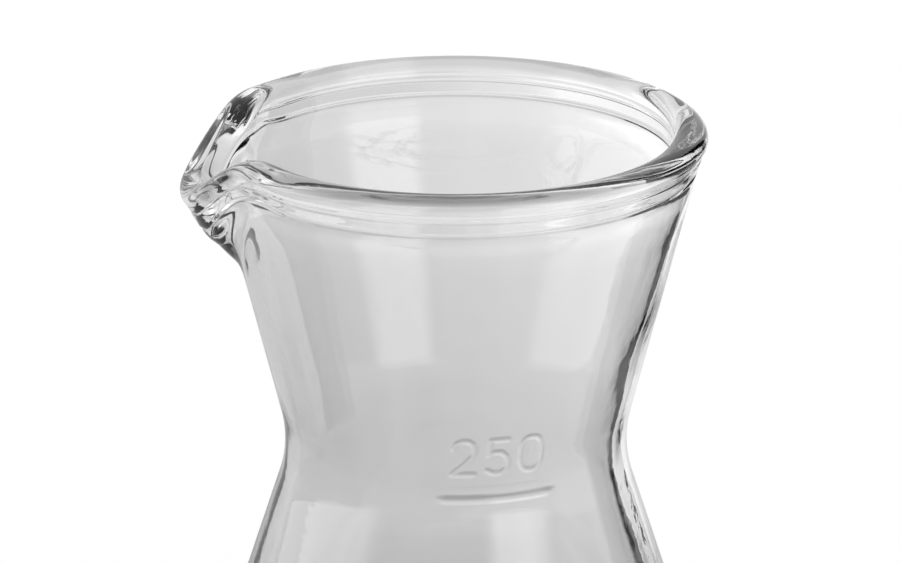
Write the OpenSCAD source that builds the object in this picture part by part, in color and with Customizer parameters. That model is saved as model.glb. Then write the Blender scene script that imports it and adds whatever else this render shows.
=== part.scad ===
// Quarter-litre pouring carafe: one piece of clear pressed glass.
// Funnel neck with a rounded lip ring and a pinched spout, narrow waist, wide body and a flat foot ring.
// Millimetres. The origin is the centre of the foot, +Z is up and the spout points along -X.

/* [Height] */
// overall height, foot to the crown of the lip ring
total_height = 134.5; // [120:0.5:150]
// depth of the quarter-litre fill line below the crown
fill_line_depth = 44; // [40:0.5:48]
// thickness of the glass at the centre of the floor
floor_thickness = 6; // [5:0.5:9]

/* [Lip ring] */
// outer radius of the lip ring
lip_radius = 33; // [31:0.25:36]
// width of the rounded bead across its section
bead_width = 4.7; // [4:0.1:5.5]
// height of the rounded bead
bead_height = 3.3; // [2.8:0.1:4]
// depth of the lower edge of the collar under the bead
collar_depth = 4.9; // [4.5:0.1:6]
// radius of the collar at its lower edge
collar_radius = 31.95; // [31:0.05:33]
// step from the collar in to the funnel wall
collar_step = 0.4; // [0.2:0.1:0.8]

/* [Funnel and waist, outside] */
// radius of the funnel wall 30 mm below the crown
funnel_radius_low = 25.6; // [24:0.1:27]
// radius of the lower cone 56 mm below the crown
cone_radius = 25.95; // [24:0.05:28]
// radius gained for each millimetre of height in the lower cone
cone_slope = 0.325; // [0.2:0.005:0.4]
// rounding of the waist on the outside
waist_rounding = 18.5; // [12:0.5:24]

/* [Funnel and waist, inside] */
// inner radius just below the bead
mouth_radius = 29.4; // [28.5:0.1:30]
// inner radius where the funnel wall starts to thicken
funnel_bore_radius = 24.85; // [24:0.05:25.5]
// depth where the funnel wall starts to thicken
funnel_bore_depth = 24.3; // [20:0.1:28]
// radius of the corner of the inner waist before rounding
waist_bore_corner = 17.94; // [17:0.02:19]
// depth of the corner of the inner waist
waist_bore_depth = 43.1; // [41:0.1:45]
// rounding of the waist on the inside
waist_bore_rounding = 31; // [20:1:36]
// radius gained for each millimetre of height in the inner lower cone
bore_cone_slope = 0.346; // [0.3:0.002:0.4]

/* [Body] */
// outer radius of the body
body_radius = 39.5; // [36:0.25:43]
// thickness of the body wall
body_wall = 3.4; // [2.5:0.1:4.5]
// rounding of the shoulder between the lower cone and the body
shoulder_rounding = 60; // [30:1:80]
// rounding of the heel between the body and the foot
heel_rounding = 9; // [6:0.5:12]
// rounding of the inner corner at the floor
floor_rounding = 13; // [8:0.5:16]
// inner radius of the flat foot ring
foot_inner_radius = 24; // [18:0.5:28]
// rise of the underside inside the foot ring
push_up = 2; // [1:0.1:3]

/* [Spout] */
// angle from the middle of the spout to each shoulder, in degrees
spout_half_angle = 33; // [25:1:40]
// distance of the spout tip from the axis
spout_reach = 36.2; // [35:0.1:38]
// depth of the pouring edge at the tip below the crown
spout_dip = 6.8; // [4:0.1:9]
// radius of the rounded edge that runs round the spout
spout_edge_radius = 1.9; // [1.5:0.05:2.2]
// depth where the underside of the spout meets the funnel wall
spout_root_depth = 19.6; // [16:0.1:24]
// thickness of the glass in the spout
spout_wall = 2.6; // [2.2:0.1:3.4]

/* [Fill line] */
// length of the raised line round the waist, in degrees
line_angle = 38; // [30:1:50]
// direction of the middle of the line, in degrees from +X
line_direction = -81; // [-120:1:-60]
// how far the line stands out of the wall
line_relief = 0.5; // [0.3:0.05:0.8]
// height of the raised line
line_height = 1.1; // [0.8:0.1:1.6]

/* [Hidden] */
$fn = 120;
// slope of the outer funnel wall, from the collar to the low point that sets it
funnel_slope = (collar_radius - collar_step - funnel_radius_low + 0.3) / (30 - collar_depth);
// radius of the outer funnel wall at a depth
function funnel_at(depth) = funnel_radius_low + funnel_slope * (30 - depth);
// radius of the outer lower cone at a depth
function cone_at(depth) = cone_radius + cone_slope * (depth - 56);
// height above the foot of a point at a depth below the crown
function up(depth) = total_height - depth;
// depth where the two outer cones would cross without the rounding
waist_corner_depth = (funnel_at(0) - cone_at(0)) / (funnel_slope + cone_slope);
// depth where the outer lower cone would reach the body radius
shoulder_depth = 56 + (body_radius - cone_radius) / cone_slope;
// inner radius of the body
bore_radius = body_radius - body_wall;
// depth where the inner lower cone would reach the bore radius
bore_shoulder_depth = 51 + (bore_radius - 20.5) / bore_cone_slope;
// outer radius of the waist, after rounding
waist_turn = atan(funnel_slope) + atan(cone_slope);
waist_radius = funnel_at(waist_corner_depth) + waist_rounding * (1 / cos(waist_turn / 2) - 1);
// crown circle of the bead
crown_radius = lip_radius - bead_width / 2;

// unit vector from a to b
function unit(a, b) = (b - a) / norm(b - a);
// rounds corner p between points a and b with radius r: a list of points on the arc
function rounded(a, p, b, r, steps) =
    let (u = unit(p, a), v = unit(p, b))
    let (half = acos(u * v) / 2)
    let (centre = p + unit([0, 0], u + v) * r / sin(half))
    let (first = p + u * r / tan(half) - centre)
    let (last = p + v * r / tan(half) - centre)
    let (start = atan2(first[1], first[0]))
    let (turn = atan2(last[1], last[0]) - start)
    let (sweep = turn > 180 ? turn - 360 : turn < -180 ? turn + 360 : turn)
    [for (i = [0 : steps]) centre + r * [cos(start + sweep * i / steps), sin(start + sweep * i / steps)]];

// corners of the outer and inner outlines, as [radius, height]
funnel_top = [funnel_at(collar_depth), up(collar_depth)];
waist_corner = [funnel_at(waist_corner_depth), up(waist_corner_depth)];
shoulder_corner = [body_radius, up(shoulder_depth)];
heel_corner = [body_radius, 0];
foot_edge = [foot_inner_radius, 0];
floor_centre = [0, floor_thickness];
floor_corner = [bore_radius, floor_thickness];
bore_shoulder = [bore_radius, up(bore_shoulder_depth)];
waist_bore = [waist_bore_corner, up(waist_bore_depth)];
funnel_bore = [funnel_bore_radius, up(funnel_bore_depth)];
mouth = [mouth_radius, up(bead_height + 0.9)];

// the bead from its inner side over the crown to its outer side
bead_section = [for (a = [180 : -12 : -24])
    [crown_radius + bead_width / 2 * cos(a), up(bead_height / 2) + bead_height / 2 * sin(a)]];
collar_section = [
    [collar_radius + 0.45, up(bead_height)],
    [collar_radius, up(collar_depth - 0.3)],
    funnel_top
];
outer_section = concat(
    rounded(funnel_top, waist_corner, shoulder_corner, waist_rounding, 16),
    rounded(waist_corner, shoulder_corner, heel_corner, shoulder_rounding, 10),
    rounded(shoulder_corner, heel_corner, foot_edge, heel_rounding, 10),
    [foot_edge, [foot_inner_radius - 2.5, push_up * 0.8], [0, push_up]]
);
inner_section = concat(
    [floor_centre],
    rounded(floor_centre, floor_corner, bore_shoulder, floor_rounding, 10),
    rounded(floor_corner, bore_shoulder, waist_bore, shoulder_rounding - 3, 8),
    rounded(bore_shoulder, waist_bore, funnel_bore, waist_bore_rounding, 16),
    [funnel_bore, mouth]
);

// points of the spout: shoulders on the crown circle, tip, and root on the funnel wall
edge = spout_edge_radius;
tip = [-(spout_reach - edge), 0, up(spout_dip + edge)];
root = [-(funnel_at(spout_root_depth) - 1.5), 0, up(spout_root_depth)];
function shoulder(side) = [
    -crown_radius * cos(spout_half_angle),
    side * crown_radius * sin(spout_half_angle),
    up(edge)
];
// the pouring plane: falls from the shoulders to the tip
plane_x = -crown_radius * cos(spout_half_angle);
plane_tilt = atan2(spout_dip, abs(tip[0] - plane_x));

// revolved glass wall, floor and foot, without the spout
module turned_body() {
    rotate_extrude()
        polygon(concat(bead_section, collar_section, outer_section, inner_section));
}

// solid outside of the spout, a little inside its rounded edge
module spout_shell() {
    hull() {
        translate(tip) sphere(edge - 0.35, $fn = 40);
        translate(root) sphere(1.5, $fn = 24);
        for (side = [-1, 1])
            translate(shoulder(side)) sphere(edge - 0.35, $fn = 32);
    }
}

// hollow of the spout, open upwards and into the funnel
module spout_channel() {
    inside = edge + spout_wall - 1;
    hull() {
        for (lift = [0, 14]) {
            translate(tip + [inside, 0, lift]) sphere(1, $fn = 24);
            translate(root + [inside + 0.6, 0, lift + 1.5]) sphere(1, $fn = 24);
            for (side = [-1, 1])
                translate([plane_x + 3.4, side * (crown_radius * sin(spout_half_angle) - 3.2), up(3.4) + lift])
                    sphere(1, $fn = 24);
        }
    }
}

// everything above the pouring plane, which runs just over the middle of the rounded edge
module pouring_cut() {
    intersection() {
        translate([plane_x, 0, up(edge - 0.6)])
            rotate([0, -plane_tilt, 0])
                translate([-40, -30, 0])
                    cube([60, 60, 30]);
        translate([plane_x - 40, -30, up(30)])
            cube([40, 60, 60]);
    }
}

// rounded end of the lip ring at a shoulder of the spout
module shoulder_cap(side) {
    half_width = bead_width / 2 + 0.05;
    half_height = bead_height / 2 + 0.05;
    translate([plane_x, side * crown_radius * sin(spout_half_angle), up(half_height)])
        rotate_extrude()
            polygon([for (a = [90 : -15 : -90]) [half_width * max(0, cos(a)), half_height * sin(a)]]);
}

// round bar between two points, for the edge of the spout
module edge_bar(a, b, r) {
    d = b - a;
    translate(a)
        rotate([0, acos(d[2] / norm(d)), atan2(d[1], d[0])])
            cylinder(h = norm(d), r = r);
}

// rounded pouring edge from shoulder to tip to shoulder
module spout_edge() {
    for (side = [-1, 1]) {
        edge_bar(shoulder(side), tip, edge);
        translate(shoulder(side)) sphere(edge);
        shoulder_cap(side);
    }
    translate(tip) sphere(edge);
}

// raised fill line on the outside of the waist
module fill_line() {
    rotate([0, 0, line_direction - line_angle / 2])
        rotate_extrude(angle = line_angle)
            translate([waist_radius, up(fill_line_depth) - line_height / 2])
                polygon([
                    [-0.8, 0],
                    [0, 0],
                    [line_relief, line_height * 0.3],
                    [line_relief, line_height * 0.7],
                    [0, line_height],
                    [-0.8, line_height]
                ]);
}

// the whole carafe, one piece of glass
module carafe() {
    color([0.86, 0.91, 0.9, 0.35])
    union() {
        difference() {
            union() {
                turned_body();
                spout_shell();
            }
            spout_channel();
            pouring_cut();
        }
        spout_edge();
        fill_line();
    }
}

carafe();
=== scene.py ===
import math

import bpy
import numpy as np
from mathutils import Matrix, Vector


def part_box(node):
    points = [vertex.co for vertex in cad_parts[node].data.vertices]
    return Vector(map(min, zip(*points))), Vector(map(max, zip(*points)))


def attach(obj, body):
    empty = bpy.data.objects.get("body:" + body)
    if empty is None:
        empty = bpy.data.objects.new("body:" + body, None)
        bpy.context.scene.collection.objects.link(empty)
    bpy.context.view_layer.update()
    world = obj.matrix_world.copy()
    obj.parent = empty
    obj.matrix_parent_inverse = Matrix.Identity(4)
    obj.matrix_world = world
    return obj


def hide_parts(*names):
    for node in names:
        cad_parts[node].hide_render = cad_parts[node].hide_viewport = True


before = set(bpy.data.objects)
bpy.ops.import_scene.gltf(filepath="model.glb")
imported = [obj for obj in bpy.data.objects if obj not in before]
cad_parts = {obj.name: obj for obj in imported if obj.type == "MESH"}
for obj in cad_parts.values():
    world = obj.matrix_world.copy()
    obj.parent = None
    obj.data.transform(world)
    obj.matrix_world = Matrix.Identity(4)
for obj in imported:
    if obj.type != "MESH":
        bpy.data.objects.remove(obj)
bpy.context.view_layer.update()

# The carafe is drawn in millimetres as depth below the crown of the lip ring, as in the CAD source,
# and every mesh is written in metres in the CAD frame: +Z up, spout along -X, foot at the origin.
MM = 0.001
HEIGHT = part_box("carafe")[1][2] / MM

# ---------------------------------------------------------------------------------------------
# Outline of the glass
# ---------------------------------------------------------------------------------------------

CROWN_RADIUS = 30.65        # middle of the bead
BEAD_HALF_WIDTH = 2.35
BEAD_HALF_HEIGHT = 1.65
COLLAR_DEPTH = 4.9          # lower edge of the collar
COLLAR_RADIUS = 31.95
COLLAR_GROOVE = 0.3         # a groove this deep runs round just below the collar
COLLAR_SEAM = 0.2           # and a finer one round its middle
FUNNEL_SLOPE = 0.249        # radius lost per millimetre of depth
FUNNEL_RADIUS_30 = 25.6     # outer radius 30 mm below the crown
CONE_SLOPE = 0.325
CONE_RADIUS_56 = 25.95
WAIST_ROUNDING = 18.5
BODY_RADIUS = 39.5
BODY_WALL = 3.4
SHOULDER_ROUNDING = 60.0
HEEL_ROUNDING = 9.0
FOOT_INNER_RADIUS = 24.0
PUSH_UP = 2.0
FLOOR_THICKNESS = 6.0
FLOOR_ROUNDING = 13.0
MOUTH_RADIUS = 28.67
MOUTH_DEPTH = 4.4           # the lip ring's inside runs into the bore here
MARK_TOP_DEPTH = 33.5       # the mesh is fine from here down over the capacity mark
MARK_FOOT_DEPTH = 50.5      # and coarser again below this
BORE_FINE_DEPTH = 18.0      # the bore is finer above this
# wall thickness measured level, as (depth, thickness)
WALL = ((0, 3.6), (4.4, 3.3), (6.5, 2.75), (9, 2.38), (12, 2.3), (20, 2.3), (32, 2.4), (44, 2.45), (56, 2.7),
        (75, 3.2), (140, 3.4))


def unit(v):
    return v / np.linalg.norm(v)


def rounded(before, corner, after, radius, steps=24):
    """Points of the arc that rounds a corner of an outline."""
    before, corner, after = (np.array(p, float) for p in (before, corner, after))
    u, v = unit(before - corner), unit(after - corner)
    half = math.acos(float(u @ v)) / 2
    centre = corner + unit(u + v) * radius / math.sin(half)
    first = corner + u * radius / math.tan(half) - centre
    last = corner + v * radius / math.tan(half) - centre
    start = math.atan2(first[1], first[0])
    sweep = (math.atan2(last[1], last[0]) - start + math.pi) % (2 * math.pi) - math.pi
    turn = start + sweep * np.linspace(0, 1, steps + 1)
    return [(centre[0] + radius * math.cos(a), centre[1] + radius * math.sin(a)) for a in turn]


def spaced(points, spacing):
    """The same line, resampled so that neighbours are about spacing apart."""
    points = np.array(points, float)
    run = np.concatenate([[0], np.cumsum(np.linalg.norm(np.diff(points, axis=0), axis=1))])
    count = max(2, int(round(run[-1] / spacing)) + 1)
    at = np.linspace(0, run[-1], count)
    return np.stack([np.interp(at, run, points[:, k]) for k in range(2)], axis=1)


def funnel(depth):
    return FUNNEL_RADIUS_30 + FUNNEL_SLOPE * (30 - depth), depth


def cone(depth):
    return CONE_RADIUS_56 + CONE_SLOPE * (depth - 56), depth


def glass_outline():
    """The section of the glass as [radius, depth] rows, from the middle of the underside up the
    outside, over the bead and down the inside to the middle of the floor."""
    waist_depth = (funnel(0)[0] - cone(0)[0]) / (FUNNEL_SLOPE + CONE_SLOPE)
    shoulder = (BODY_RADIUS, 56 + (BODY_RADIUS - CONE_RADIUS_56) / CONE_SLOPE)
    heel = (BODY_RADIUS, HEIGHT)
    foot = (FOOT_INNER_RADIUS, HEIGHT)
    bore = BODY_RADIUS - BODY_WALL
    floor_depth = HEIGHT - FLOOR_THICKNESS
    bore_shoulder = (bore, shoulder[1])
    floor_corner = (bore, floor_depth)
    mouth = (MOUTH_RADIUS, MOUTH_DEPTH)

    underside = [(0.0, HEIGHT - PUSH_UP), (12.0, HEIGHT - PUSH_UP * 0.93), (21.0, HEIGHT - PUSH_UP * 0.62),
                 (23.2, HEIGHT - 0.35), foot]
    heel_arc = rounded(foot, heel, shoulder, HEEL_ROUNDING)
    shoulder_arc = rounded(heel, shoulder, funnel(waist_depth), SHOULDER_ROUNDING)
    waist_arc = rounded(shoulder, funnel(waist_depth), funnel(0), WAIST_ROUNDING, 60)
    below = funnel(COLLAR_DEPTH + 0.75)
    groove = funnel(COLLAR_DEPTH + 0.32)
    collar = [below, (groove[0] - COLLAR_GROOVE, groove[1]), (COLLAR_RADIUS - 0.06, COLLAR_DEPTH - 0.04),
              (COLLAR_RADIUS, COLLAR_DEPTH - 0.18), (COLLAR_RADIUS + 0.36, 3.56),
              (COLLAR_RADIUS + 0.42 - COLLAR_SEAM, 3.32), (COLLAR_RADIUS + 0.45, 3.10)]
    bead = [(CROWN_RADIUS + BEAD_HALF_WIDTH * math.cos(a), BEAD_HALF_HEIGHT * (1 - math.sin(a)))
            for a in np.radians(np.linspace(-35, 190, 80))]
    outside = np.array(shoulder_arc + waist_arc + [funnel(COLLAR_DEPTH)])
    outside = spaced(outside, 0.4)[::-1]
    bore_depth = np.linspace(mouth[1], outside[-1, 1], 260)
    bore_radius = np.interp(bore_depth, outside[:, 1], outside[:, 0]) - curve(WALL, bore_depth)
    bore_line = np.stack([bore_radius, bore_depth], axis=1)
    bore_line = bore_line[bore_depth < floor_depth - FLOOR_ROUNDING - 4]
    floor_arc = rounded(bore_shoulder, floor_corner, (0.0, floor_depth), FLOOR_ROUNDING)

    split = int(np.searchsorted(bore_line[:, 1], BORE_FINE_DEPTH))
    # each run of the outline with the spacing of its mesh rows
    runs = [
        (underside, 1.8),
        (heel_arc, 0.9),
        (heel_arc[-1:] + shoulder_arc[:1], 2.5),
        (shoulder_arc, 1.9),
        (shoulder_arc[-1:] + [cone(MARK_FOOT_DEPTH)], 1.8),
        ([cone(MARK_FOOT_DEPTH)] + waist_arc[:1], 0.5),
        (waist_arc, 0.2),
        (waist_arc[-1:] + [funnel(MARK_TOP_DEPTH)], 0.2),
        ([funnel(MARK_TOP_DEPTH), below], 1.1),
        (collar, 0.10),
        (collar[-1:] + bead[:1], 0.15),
        (bead, 0.24),
        (bead[-1:] + [tuple(bore_line[0])], 0.3),
        (bore_line[:split + 1], 0.65),
        (bore_line[split:], 1.6),
        ([tuple(bore_line[-1])] + floor_arc[:1], 2.5),
        (floor_arc, 1.0),
        (floor_arc[-1:] + [(0.0, floor_depth)], 2.4),
    ]
    rows = np.concatenate([spaced(points, spacing) for points, spacing in runs])
    keep = np.concatenate([[True], np.linalg.norm(np.diff(rows, axis=0), axis=1) > 1e-3])
    return rows[keep]


# ---------------------------------------------------------------------------------------------
# Spout: the wall is pushed out and down between two shoulders of the lip ring
# ---------------------------------------------------------------------------------------------

SPOUT_AZIMUTH = 180.0
PUSH_HALF_ANGLE = 30.0      # the lip leaves its circle in plan here
DROP_HALF_ANGLE = 32.0      # and starts to come down here
SPOUT_PUSH = ((-1, 3.35), (1.8, 3.15), (4.9, 1.95), (10, 1.05), (15, 0.45), (20, 0.0))
SPOUT_DROP = ((-1, 6.9), (1.8, 7.0), (4.9, 7.9), (10, 5.3), (15, 2.3), (20, 0.0))
SPOUT_THINNING = 0.9        # the inside of the lip is pressed this much further out,
THINNING_DEPTHS = (3.0, 18.0)       # less and less between these depths
INWARD_REACH = 2.2          # a point this far inside the crown counts fully as inner wall
SPOUT_TAPER = 0.72          # share of the spout's width that is lost at its foot,
TAPER_DEPTHS = (1.0, 23.0)          # more and more between these depths
SHOULDER_RISE = ((-1, 0.2), (1.8, 0.25), (4.9, 0.6), (10, 0.0))     # the lip rises before it drops


def curve(knots, x):
    """A smooth curve through the knots, level where its neighbours turn back."""
    xs, ys = (np.array(c, float) for c in zip(*knots))
    slope = np.diff(ys) / np.diff(xs)
    tangent = np.zeros_like(ys)
    same = slope[1:] * slope[:-1] > 0
    tangent[1:-1][same] = 2 * slope[1:][same] * slope[:-1][same] / (slope[1:] + slope[:-1])[same]
    return hermite(xs, ys, tangent, x)


def spline(knots, x):
    """The smoothest curve through the knots that is level at both ends."""
    xs, ys = (np.array(c, float) for c in zip(*knots))
    h = np.diff(xs)
    slope = np.diff(ys) / h
    system = np.eye(len(xs))
    right = np.zeros(len(xs))
    for i in range(1, len(xs) - 1):
        system[i, i - 1:i + 2] = 1 / h[i - 1], 2 / h[i - 1] + 2 / h[i], 1 / h[i]
        right[i] = 3 * (slope[i - 1] / h[i - 1] + slope[i] / h[i])
    return hermite(xs, ys, np.linalg.solve(system, right), x)


def hermite(xs, ys, tangent, x):
    """The cubic curve through the knots with the given slope at each."""
    i = np.clip(np.searchsorted(xs, x) - 1, 0, len(xs) - 2)
    h = xs[i + 1] - xs[i]
    t = np.clip((x - xs[i]) / h, 0, 1)
    return ((2 * t**3 - 3 * t**2 + 1) * ys[i] + (t**3 - 2 * t**2 + t) * h * tangent[i]
            + (3 * t**2 - 2 * t**3) * ys[i + 1] + (t**3 - t**2) * h * tangent[i + 1])


def smooth_step(a, b, x):
    """0 at a, 1 at b, with no sudden bend anywhere between or at the ends."""
    t = np.clip((x - a) / (b - a), 0, 1)
    return t * t * t * (10 - 15 * t + 6 * t * t)


def spout_warp(radius, depth, azimuth, inward):
    """Radius and depth of each point after the spout is pressed. Inward is 1 well inside the crown
    of the lip and 0 on the outer wall."""
    off = np.abs((azimuth - SPOUT_AZIMUTH + 180) % 360 - 180)
    width = 1 - SPOUT_TAPER * smooth_step(*TAPER_DEPTHS, depth)
    push_share = 1 - smooth_step(0, PUSH_HALF_ANGLE * width, off)
    drop_share = 1 - smooth_step(0, DROP_HALF_ANGLE * width, off)
    push = spline(SPOUT_PUSH, depth) + SPOUT_THINNING * inward * (1 - smooth_step(*THINNING_DEPTHS, depth))
    rise = spline(SHOULDER_RISE, depth) * np.exp(-((off - DROP_HALF_ANGLE - 2) / 6) ** 2)
    return radius + push * push_share, depth + spline(SPOUT_DROP, depth) * drop_share - rise


# ---------------------------------------------------------------------------------------------
# Capacity mark: raised numerals over a raised line
# ---------------------------------------------------------------------------------------------

MARK_AZIMUTH = -81.2        # middle of the mark
LINE_DEPTH = 44.0
LINE_HALF_LENGTH = 7.2
LINE_WIDTH = 1.15
NUMERAL_BASE_DEPTH = 40.4
NUMERAL_SIZE = (3.0, 5.0)
NUMERAL_PITCH = 4.5
STROKE_WIDTH = 0.80
STROKE_RELIEF = 0.15
LINE_RELIEF = 0.30

OVAL_STEPS = 32
OVAL = [(0.5 + 0.5 * math.copysign(abs(math.cos(a)) ** 0.75, math.cos(a)),
         0.5 + 0.5 * math.copysign(abs(math.sin(a)) ** 0.75, math.sin(a)))
        for a in np.linspace(0, 2 * math.pi, OVAL_STEPS + 1)]
NUMERALS = {
    "2": [(0.03, 0.78), (0.14, 0.93), (0.35, 1.0), (0.65, 1.0), (0.88, 0.91), (0.97, 0.74), (0.9, 0.56),
          (0.55, 0.3), (0.18, 0.1), (0.03, 0.0), (1.0, 0.0)],
    "5": [(0.93, 1.0), (0.15, 1.0), (0.08, 0.56), (0.35, 0.64), (0.65, 0.62), (0.9, 0.48), (0.98, 0.3),
          (0.9, 0.12), (0.64, 0.01), (0.35, 0.0), (0.04, 0.1)],
    "0": OVAL,
}
CAPACITY = "250"


def stroke_distance(points, x, y):
    """Distance from each (x, y) to a line of joined points."""
    best = np.full(x.shape, 1e9)
    for (ax, ay), (bx, by) in zip(points[:-1], points[1:]):
        dx, dy = bx - ax, by - ay
        t = np.clip(((x - ax) * dx + (y - ay) * dy) / max(dx * dx + dy * dy, 1e-9), 0, 1)
        best = np.minimum(best, np.hypot(x - ax - t * dx, y - ay - t * dy))
    return best


def rounded_stroke(distance, width):
    """Height of a stroke of this width, 1 in its middle and 0 at its edges."""
    return np.clip(1 - (2 * distance / width) ** 2, 0, None) ** 0.8


def mark_relief(radius, depth, azimuth):
    """How far the pressed mark stands out of the outer wall."""
    across = np.radians((azimuth - MARK_AZIMUTH + 180) % 360 - 180) * radius
    line = stroke_distance([(-LINE_HALF_LENGTH, LINE_DEPTH), (LINE_HALF_LENGTH, LINE_DEPTH)], across, depth)
    relief = LINE_RELIEF * rounded_stroke(line, LINE_WIDTH)
    for i, digit in enumerate(CAPACITY):
        left = (i - (len(CAPACITY) - 1) / 2) * NUMERAL_PITCH - NUMERAL_SIZE[0] / 2
        points = [(left + px * NUMERAL_SIZE[0], NUMERAL_BASE_DEPTH - py * NUMERAL_SIZE[1])
                  for px, py in NUMERALS[digit]]
        stroke = rounded_stroke(stroke_distance(points, across, depth), STROKE_WIDTH)
        relief = np.maximum(relief, STROKE_RELIEF * stroke)
    return relief


# ---------------------------------------------------------------------------------------------
# Slight unevenness of pressed glass
# ---------------------------------------------------------------------------------------------


def ripple(azimuth, depth, seed, count, low, high):
    """A smooth uneven field, about -1 to 1, that closes round the axis."""
    rng = np.random.default_rng(seed)
    total = np.zeros(np.broadcast(azimuth, depth).shape)
    for _ in range(count):
        wave = rng.integers(low, high)
        lean = rng.uniform(-0.10, 0.10)
        start = rng.uniform(0, 2 * math.pi)
        total += np.cos(np.radians(azimuth) * wave + depth * lean + start)
    return total / math.sqrt(count)


# waves in each wall, as (height, seed, how many, fewest and most round the axis)
WAVES_OUTSIDE = ((0.018, 11, 6, 2, 7),)
WAVES_INSIDE = ((0.055, 23, 7, 3, 12), (0.02, 31, 5, 12, 26))


def waviness(azimuth, depth, waves):
    return sum(height * ripple(azimuth, depth, *shape) for height, *shape in waves)


# the inner wall is thicker in one place above the waist
SWELLING = 0.35
SWELLING_AZIMUTH = -4.5
SWELLING_DEPTH = 31.0
SWELLING_WIDTH = 9.0
SWELLING_HEIGHT = 5.0


def swelling(azimuth, depth, radius):
    """How far the inner wall stands inward at its swelling."""
    across = np.radians((azimuth - SWELLING_AZIMUTH + 180) % 360 - 180) * radius
    above = depth - SWELLING_DEPTH
    return SWELLING * np.exp(-(across / SWELLING_WIDTH) ** 2 - (above / SWELLING_HEIGHT) ** 2)


# mesh columns, as (azimuth, half-angle, step), with a wider step everywhere else
FINE_COLUMNS = ((MARK_AZIMUTH, 19, 0.42), (SPOUT_AZIMUTH, 39, 1.0))
COLUMN_STEP = 2.25


def column_step(azimuth):
    for centre, half_angle, step in FINE_COLUMNS:
        if abs((azimuth - centre + 180) % 360 - 180) < half_angle:
            return step
    return COLUMN_STEP


def azimuth_columns():
    """Directions of the mesh columns in degrees: close together over the mark and the spout."""
    columns = [-180.0]
    while columns[-1] + column_step(columns[-1]) < 180.0:
        columns.append(columns[-1] + column_step(columns[-1]))
    columns = np.array(columns)
    return -180.0 + (columns + 180.0) * 360.0 / (columns[-1] + column_step(columns[-1]) + 180.0)


def build_carafe():
    outline = glass_outline()
    crown = int(np.argmin(outline[:, 1]))
    outer = np.arange(len(outline)) < crown
    first, last = outline[0], outline[-1]
    # the first and last rows are points on the axis and close the mesh
    rows = outline[1:-1]
    outer = outer[1:-1]
    azimuth = azimuth_columns()
    radius = np.repeat(rows[:, :1], len(azimuth), axis=1)
    depth = np.repeat(rows[:, 1:], len(azimuth), axis=1)
    around = np.repeat(azimuth[None, :], len(rows), axis=0)
    is_outer = np.repeat(outer[:, None], len(azimuth), axis=1)

    # the lip and the foot are even
    fade = smooth_step(2.5, 9.0, depth) * smooth_step(2.0, 10.0, HEIGHT - depth)
    outside = waviness(around, depth, WAVES_OUTSIDE)
    inside = waviness(around, depth, WAVES_INSIDE)
    radius = radius + np.where(is_outer, outside, inside) * fade
    radius = radius - np.where(is_outer, 0.0, swelling(around, depth, radius))
    radius = radius + np.where(is_outer, mark_relief(radius, depth, around), 0.0)
    inward = np.where(is_outer, 0.0, smooth_step(0.0, INWARD_REACH, CROWN_RADIUS - radius))
    radius, depth = spout_warp(radius, depth, around, inward)

    turn = np.radians(around)
    points = np.stack([radius * np.cos(turn), radius * np.sin(turn), HEIGHT - depth], axis=-1) * MM
    n_rows, n_cols = radius.shape
    verts = points.reshape(-1, 3)
    underside_centre = len(verts)
    floor_centre = underside_centre + 1
    verts = np.concatenate([verts, [[0, 0, (HEIGHT - first[1]) * MM], [0, 0, (HEIGHT - last[1]) * MM]]])
    i = np.arange(n_rows - 1)[:, None] * n_cols
    j = np.arange(n_cols)[None, :]
    k = (j + 1) % n_cols
    quads = np.stack([i + j, i + k, i + n_cols + k, i + n_cols + j], axis=-1).reshape(-1, 4)
    faces = quads.tolist()
    top = (n_rows - 1) * n_cols
    for a in range(n_cols):
        b = (a + 1) % n_cols
        faces.append([underside_centre, b, a])
        faces.append([floor_centre, top + a, top + b])
    mesh = bpy.data.meshes.new("carafe_glass")
    mesh.from_pydata(verts.tolist(), [], faces)
    mesh.validate()
    mesh.polygons.foreach_set("use_smooth", [True] * len(mesh.polygons))
    mesh.update()
    piece = bpy.data.objects.new("carafe_glass", mesh)
    bpy.context.scene.collection.objects.link(piece)
    return piece


# ---------------------------------------------------------------------------------------------
# Materials
# ---------------------------------------------------------------------------------------------


GLASS_TINT = 0.95
GLASS_IOR = 1.5
SHADOW_TINT = 0.88          # what each wall lets through to the floor
STREAK_SCALE = 130.0
STREAK_LENGTH = 14.0
STREAK_STRENGTH = 0.05
PEEL_SCALE = 110.0
PEEL_STRENGTH = 0.035
SMUDGE_SCALE = 38.0
SMUDGE_SPAN = (0.5, 0.75)   # of the noise field that draws the smudges
SMUDGE_ROUGHNESS = 0.05


def by_ray(nt, kind, shader, others):
    """Joins two shaders: one for the named kind of ray, one for the others."""
    path = nt.nodes.new("ShaderNodeLightPath")
    mix = nt.nodes.new("ShaderNodeMixShader")
    nt.links.new(path.outputs[kind], mix.inputs[0])
    nt.links.new(others, mix.inputs[1])
    nt.links.new(shader, mix.inputs[2])
    return mix.outputs[0]


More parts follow.
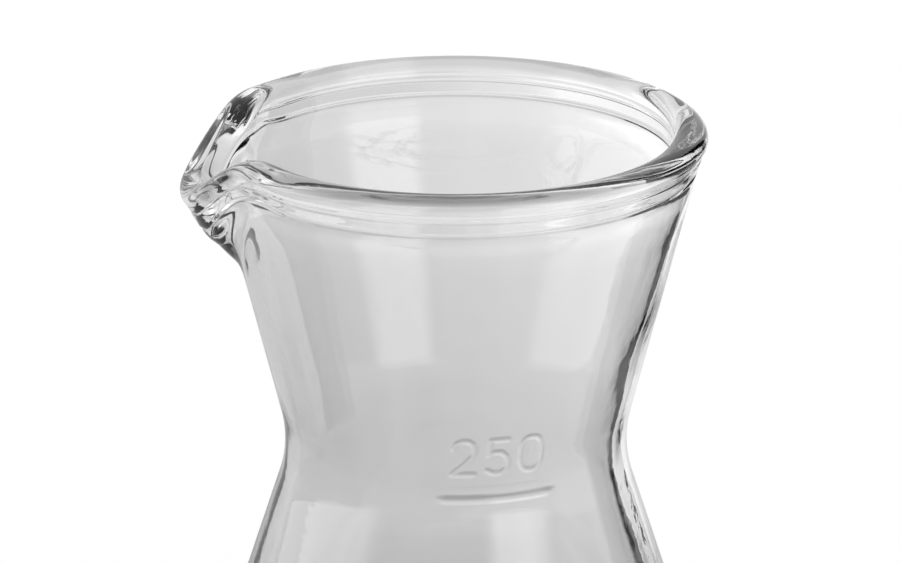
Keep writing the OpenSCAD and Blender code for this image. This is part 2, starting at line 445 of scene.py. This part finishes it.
def glass_material():
    mat = bpy.data.materials.new("clear_glass")
    mat.use_nodes = True
    nt = mat.node_tree
    nt.nodes.clear()
    out = nt.nodes.new("ShaderNodeOutputMaterial")
    glass = nt.nodes.new("ShaderNodeBsdfPrincipled")
    glass.inputs["Base Color"].default_value = (GLASS_TINT, GLASS_TINT, GLASS_TINT, 1.0)
    # the link made below outranks this, but an export may read the plain value
    glass.inputs["Roughness"].default_value = 0.0
    glass.inputs["IOR"].default_value = GLASS_IOR
    glass.inputs["Transmission Weight"].default_value = 1.0
    coord = nt.nodes.new("ShaderNodeTexCoord")

    def noise(scale, detail, upright=1.0):
        """A noise field in the glass; upright stretches it into streaks along the height."""
        place = nt.nodes.new("ShaderNodeMapping")
        place.inputs["Scale"].default_value = (1.0, 1.0, 1.0 / upright)
        field = nt.nodes.new("ShaderNodeTexNoise")
        field.inputs["Scale"].default_value = scale
        field.inputs["Detail"].default_value = detail
        nt.links.new(coord.outputs["Object"], place.inputs["Vector"])
        nt.links.new(place.outputs["Vector"], field.inputs["Vector"])
        return field.outputs["Fac"]

    def bumped(height, strength, under=None):
        """The normal after a relief, on top of another relief if one is given."""
        bump = nt.nodes.new("ShaderNodeBump")
        bump.inputs["Strength"].default_value = strength
        bump.inputs["Distance"].default_value = MM
        nt.links.new(height, bump.inputs["Height"])
        if under:
            nt.links.new(under, bump.inputs["Normal"])
        return bump.outputs["Normal"]

    # flow streaks left by the mould, then a finer orange peel
    streaks = bumped(noise(STREAK_SCALE, 2.0, STREAK_LENGTH), STREAK_STRENGTH)
    peel = bumped(noise(PEEL_SCALE, 5.0), PEEL_STRENGTH, streaks)
    nt.links.new(peel, glass.inputs["Normal"])
    # handling smudges
    smudge = nt.nodes.new("ShaderNodeMapRange")
    smudge.inputs["From Min"].default_value = SMUDGE_SPAN[0]
    smudge.inputs["From Max"].default_value = SMUDGE_SPAN[1]
    smudge.inputs["To Min"].default_value = 0.0
    smudge.inputs["To Max"].default_value = SMUDGE_ROUGHNESS
    nt.links.new(noise(SMUDGE_SCALE, 6.0), smudge.inputs["Value"])
    nt.links.new(smudge.outputs["Result"], glass.inputs["Roughness"])
    # light passes straight through to the floor, so the shadow is soft and pale
    lit = nt.nodes.new("ShaderNodeBsdfTransparent")
    lit.inputs["Color"].default_value = (SHADOW_TINT, SHADOW_TINT, SHADOW_TINT, 1.0)
    surface = by_ray(nt, "Is Shadow Ray", lit.outputs[0], glass.outputs[0])
    nt.links.new(surface, out.inputs["Surface"])
    return mat


# ---------------------------------------------------------------------------------------------
# Stage, light and camera
# ---------------------------------------------------------------------------------------------

CAMERA_AZIMUTH = -94.5      # direction from the axis to the camera, in degrees from +X
RAY_ELEVATION = 17.14       # of the line from the crown's centre to the camera
CAMERA_DISTANCE = 0.650
SENSOR_WIDTH = 36.0
LENS = 198.8
AIM_RIGHT = -0.068017       # the camera looks this many degrees right of the crown's centre
AIM_DOWN = 1.830076         # and this many below it


def direction(azimuth, elevation):
    a, e = math.radians(azimuth), math.radians(elevation)
    return Vector((math.cos(a) * math.cos(e), math.sin(a) * math.cos(e), math.sin(e)))


def make_camera():
    data = bpy.data.cameras.new("camera")
    camera = bpy.data.objects.new("camera", data)
    bpy.context.scene.collection.objects.link(camera)
    data.sensor_width = SENSOR_WIDTH
    data.lens = LENS
    data.clip_start = 0.01
    data.clip_end = 60.0
    crown = Vector((0, 0, HEIGHT * MM))
    back = direction(CAMERA_AZIMUTH, RAY_ELEVATION)
    camera.location = crown + back * CAMERA_DISTANCE
    right = direction(CAMERA_AZIMUTH + 90, 0)
    up = back.cross(right)
    aim = -back + right * math.tan(math.radians(AIM_RIGHT)) - up * math.tan(math.radians(AIM_DOWN))
    camera.rotation_mode = "QUATERNION"
    camera.rotation_quaternion = aim.to_track_quat("-Z", "Y")
    bpy.context.scene.camera = camera


BEHIND = direction(CAMERA_AZIMUTH + 180, 0)
BESIDE = direction(CAMERA_AZIMUTH + 90, 0)

FLOOR_SIDE = 12.0
FLOOR_SEEN = 0.97           # shade of the floor for the camera, which sees it plain
# The floor that the glass sees is graded: painted shade, darker near the carafe, and painted light
# to the right of the camera, the brighter side. The shades are (distance from the centre in metres, shade).
# centre of the painted shade on the floor that the glass sees
PAINTED_SHADE_CENTRE = -0.05          # in front of the axis
PAINTED_SHADE_RINGS = (
    (0.04, 0.50),
    (0.12, 0.40),
    (0.19, 0.50),
    (0.24, 0.68),
    (0.31, 0.68),
    (0.42, 0.74),
    (0.60, 0.80),
)
# painted light across the floor that the glass sees, lighter to the right
SIDE_REACH = (-0.07, 0.07)
SIDE_SHADES = (0.86, 1.06)
BRIGHT_SIDE = (0.06, 0.13)  # from here on the right, the floor turns brighter still
BRIGHT_SIDE_GAINS = (1.0, 1.25)

ROOM_SPAN = (-0.6, 0.9)     # from in front to behind, as the cosine of the direction
ROOM_SHADES = (0.62, 0.86)  # for the glass
ROOM_ON_FLOOR = 0.98
ROOM_SEEN = 0.925           # for the camera, where the far floor ends

CARD_NEAR = (0.125, 0.01)   # beside and behind the axis
CARD_FAR = (0.089, 0.1085)
CARD_HEIGHT = 0.25
CARD_SHADE = 0.02

PANEL_DISTANCE = 1.0
PANEL_HEIGHTS = (-0.10, 0.75)
PANEL_TOP_FADE = 0.25       # share of the height
PANEL_POINTS = (41, 25)     # across and up

TOP_POWER = 2.6
TOP_SIZE = 1.4
TOP_AZIMUTH = 150           # from the camera
TOP_ELEVATION = 68
TOP_DISTANCE = 1.6


def make_mesh(name, points, faces):
    """A piece of the stage."""
    mesh = bpy.data.meshes.new(name)
    mesh.from_pydata([tuple(p) for p in points], [], faces)
    thing = bpy.data.objects.new(name, mesh)
    bpy.context.scene.collection.objects.link(thing)
    return thing


def along(nt, vector, axis):
    """The distance of a vector socket along an axis."""
    dot = nt.nodes.new("ShaderNodeVectorMath")
    dot.operation = "DOT_PRODUCT"
    dot.inputs[1].default_value = tuple(axis)
    nt.links.new(vector, dot.inputs[0])
    return dot.outputs["Value"]


def graded(nt, value, span, shades):
    """A smooth change from one shade to the other over the span."""
    node = nt.nodes.new("ShaderNodeMapRange")
    node.interpolation_type = "SMOOTHSTEP"
    node.inputs["From Min"].default_value, node.inputs["From Max"].default_value = span
    node.inputs["To Min"].default_value, node.inputs["To Max"].default_value = shades
    nt.links.new(value, node.inputs["Value"])
    return node.outputs["Result"]


def make_floor():
    """A plain pale floor for the camera and a graded one for the glass, with painted shade and light."""
    h = FLOOR_SIDE
    floor = make_mesh("floor", [(-h, -h, 0), (h, -h, 0), (h, h, 0), (-h, h, 0)], [(0, 1, 2, 3)])
    mat = bpy.data.materials.new("floor")
    mat.use_nodes = True
    nt = mat.node_tree
    nt.nodes.clear()
    plain = nt.nodes.new("ShaderNodeBsdfDiffuse")
    plain.inputs["Color"].default_value = (FLOOR_SEEN, FLOOR_SEEN, FLOOR_SEEN, 1)
    coord = nt.nodes.new("ShaderNodeTexCoord")
    offset = nt.nodes.new("ShaderNodeVectorMath")
    offset.operation = "DISTANCE"
    offset.inputs[1].default_value = tuple(BEHIND * PAINTED_SHADE_CENTRE)
    nt.links.new(coord.outputs["Object"], offset.inputs[0])
    # rings of painted shade, darker near the carafe
    rings = nt.nodes.new("ShaderNodeValToRGB")
    rings.color_ramp.interpolation = "EASE"
    reach = PAINTED_SHADE_RINGS[-1][0]
    for i, (distance, shade) in enumerate(PAINTED_SHADE_RINGS):
        stop = rings.color_ramp.elements[i] if i < 2 else rings.color_ramp.elements.new(distance / reach)
        stop.position = distance / reach
        stop.color = (shade, shade, shade, 1)
    share = nt.nodes.new("ShaderNodeMath")
    share.operation = "DIVIDE"
    share.inputs[1].default_value = reach
    nt.links.new(offset.outputs["Value"], share.inputs[0])
    nt.links.new(share.outputs[0], rings.inputs["Fac"])
    # painted light: the floor that the glass sees is lighter to the right
    beside = along(nt, coord.outputs["Object"], BESIDE)
    side = graded(nt, beside, SIDE_REACH, SIDE_SHADES)
    bright = graded(nt, beside, BRIGHT_SIDE, BRIGHT_SIDE_GAINS)
    both = nt.nodes.new("ShaderNodeVectorMath")
    both.operation = "SCALE"
    gain = nt.nodes.new("ShaderNodeMath")
    gain.operation = "MULTIPLY"
    nt.links.new(side, gain.inputs[0])
    nt.links.new(bright, gain.inputs[1])
    nt.links.new(rings.outputs["Color"], both.inputs[0])
    nt.links.new(gain.outputs[0], both.inputs["Scale"])
    # the floor as the glass sees it, with painted shade and painted light
    painted_shade_floor = nt.nodes.new("ShaderNodeBsdfDiffuse")
    nt.links.new(both.outputs[0], painted_shade_floor.inputs["Color"])
    out = nt.nodes.new("ShaderNodeOutputMaterial")
    surface = by_ray(nt, "Is Camera Ray", plain.outputs[0], painted_shade_floor.outputs[0])
    nt.links.new(surface, out.inputs["Surface"])
    floor.data.materials.append(mat)


def seen_by_glass_only(thing):
    thing.visible_camera = False
    thing.visible_shadow = False
    thing.visible_diffuse = False


def make_dark_card():
    """A dark card at the right that draws the edge of the glass."""
    near = BESIDE * CARD_NEAR[0] + BEHIND * CARD_NEAR[1]
    far = BESIDE * CARD_FAR[0] + BEHIND * CARD_FAR[1]
    top = Vector((0, 0, CARD_HEIGHT))
    card = make_mesh("dark_card", [near, far, far + top, near + top], [(0, 1, 2, 3)])
    mat = bpy.data.materials.new("dark_card")
    mat.use_nodes = True
    shader = mat.node_tree.nodes["Principled BSDF"]
    shader.inputs["Base Color"].default_value = (CARD_SHADE, CARD_SHADE, CARD_SHADE, 1)
    shader.inputs["Roughness"].default_value = 1.0
    card.data.materials.append(mat)
    seen_by_glass_only(card)


def soft_panel(name, span, level, fade):
    """A curved luminous panel round the carafe with soft edges, which shows only in reflections.
    The span is in degrees from the camera, the fade is the share of the panel that each edge takes."""
    n_across, n_up = PANEL_POINTS
    across = np.linspace(0, 1, n_across)
    up = np.linspace(0, 1, n_up)
    low, high = PANEL_HEIGHTS
    points, glow = [], []
    for v in up:
        for u in across:
            outward = direction(CAMERA_AZIMUTH + span[0] + (span[1] - span[0]) * u, 0)
            points.append(outward * PANEL_DISTANCE + Vector((0, 0, low + (high - low) * v)))
            sides = smooth_step(0, fade, u) * smooth_step(0, fade, 1 - u)
            glow.append(float(sides * smooth_step(0, PANEL_TOP_FADE, 1 - v)))
    corners = [j * n_across + i for j in range(n_up - 1) for i in range(n_across - 1)]
    faces = [(k, k + 1, k + n_across + 1, k + n_across) for k in corners]
    panel = make_mesh(name, points, faces)
    panel.data.attributes.new("glow", "FLOAT", "POINT").data.foreach_set("value", glow)
    mat = bpy.data.materials.new(name)
    mat.use_nodes = True
    nt = mat.node_tree
    nt.nodes.clear()
    attribute = nt.nodes.new("ShaderNodeAttribute")
    attribute.attribute_name = "glow"
    clear = nt.nodes.new("ShaderNodeBsdfTransparent")
    light = nt.nodes.new("ShaderNodeEmission")
    light.inputs["Strength"].default_value = level
    # only reflections show the panel: a ray that has gone straight through the glass doesn't
    path = nt.nodes.new("ShaderNodeLightPath")
    reflected = nt.nodes.new("ShaderNodeMath")
    reflected.operation = "MULTIPLY"
    reflected.use_clamp = True
    nt.links.new(path.outputs["Glossy Depth"], reflected.inputs[0])
    nt.links.new(attribute.outputs["Fac"], reflected.inputs[1])
    mix = nt.nodes.new("ShaderNodeMixShader")
    nt.links.new(reflected.outputs[0], mix.inputs[0])
    nt.links.new(clear.outputs[0], mix.inputs[1])
    nt.links.new(light.outputs[0], mix.inputs[2])
    out = nt.nodes.new("ShaderNodeOutputMaterial")
    nt.links.new(mix.outputs[0], out.inputs["Surface"])
    panel.data.materials.append(mat)
    seen_by_glass_only(panel)


def make_top_light():
    """A large soft light overhead, behind the carafe, that draws the soft shadow on the floor."""
    data = bpy.data.lights.new("top_soft_box", "AREA")
    data.shape = "RECTANGLE"
    data.size = TOP_SIZE
    data.size_y = TOP_SIZE
    data.energy = TOP_POWER
    light = bpy.data.objects.new("top_soft_box", data)
    bpy.context.scene.collection.objects.link(light)
    back = direction(CAMERA_AZIMUTH + TOP_AZIMUTH, TOP_ELEVATION)
    light.location = back * TOP_DISTANCE
    light.rotation_mode = "QUATERNION"
    light.rotation_quaternion = (-back).to_track_quat("-Z", "Y")
    light.visible_camera = False
    light.visible_glossy = False
    light.visible_transmission = False


def make_world():
    """The room: one level for the camera, one that lights the floor and a graded one for the glass."""
    world = bpy.data.worlds.new("studio")
    bpy.context.scene.world = world
    world.use_nodes = True
    nt = world.node_tree
    nt.nodes.clear()
    shades = []
    for level in (ROOM_SEEN, ROOM_ON_FLOOR, 1.0):
        light = nt.nodes.new("ShaderNodeBackground")
        light.inputs["Color"].default_value = (level, level, level, 1)
        shades.append(light)
    coord = nt.nodes.new("ShaderNodeTexCoord")
    depth = along(nt, coord.outputs["Generated"], BEHIND)
    nt.links.new(graded(nt, depth, ROOM_SPAN, ROOM_SHADES), shades[2].inputs["Strength"])
    for_floor = by_ray(nt, "Is Diffuse Ray", shades[1].outputs[0], shades[2].outputs[0])
    out = nt.nodes.new("ShaderNodeOutputWorld")
    nt.links.new(by_ray(nt, "Is Camera Ray", shades[0].outputs[0], for_floor), out.inputs["Surface"])


scene = bpy.context.scene
scene.view_settings.view_transform = "Standard"
scene.view_settings.look = "None"
# no bright focused spots on the floor, and enough bounces for rays that stay in the wall for a while
scene.cycles.caustics_refractive = False
scene.cycles.max_bounces = 48
scene.cycles.transmission_bounces = 48
scene.cycles.glossy_bounces = 12
scene.cycles.transparent_max_bounces = 24

make_camera()
make_floor()
make_dark_card()
make_world()
make_top_light()
soft_panel("left_panel", (-135, -44), 1.9, 0.2)
soft_panel("right_panel", (14, 66), 2.6, 0.25)

carafe = build_carafe()
carafe.data.materials.append(glass_material())
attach(carafe, "root")
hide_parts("carafe")
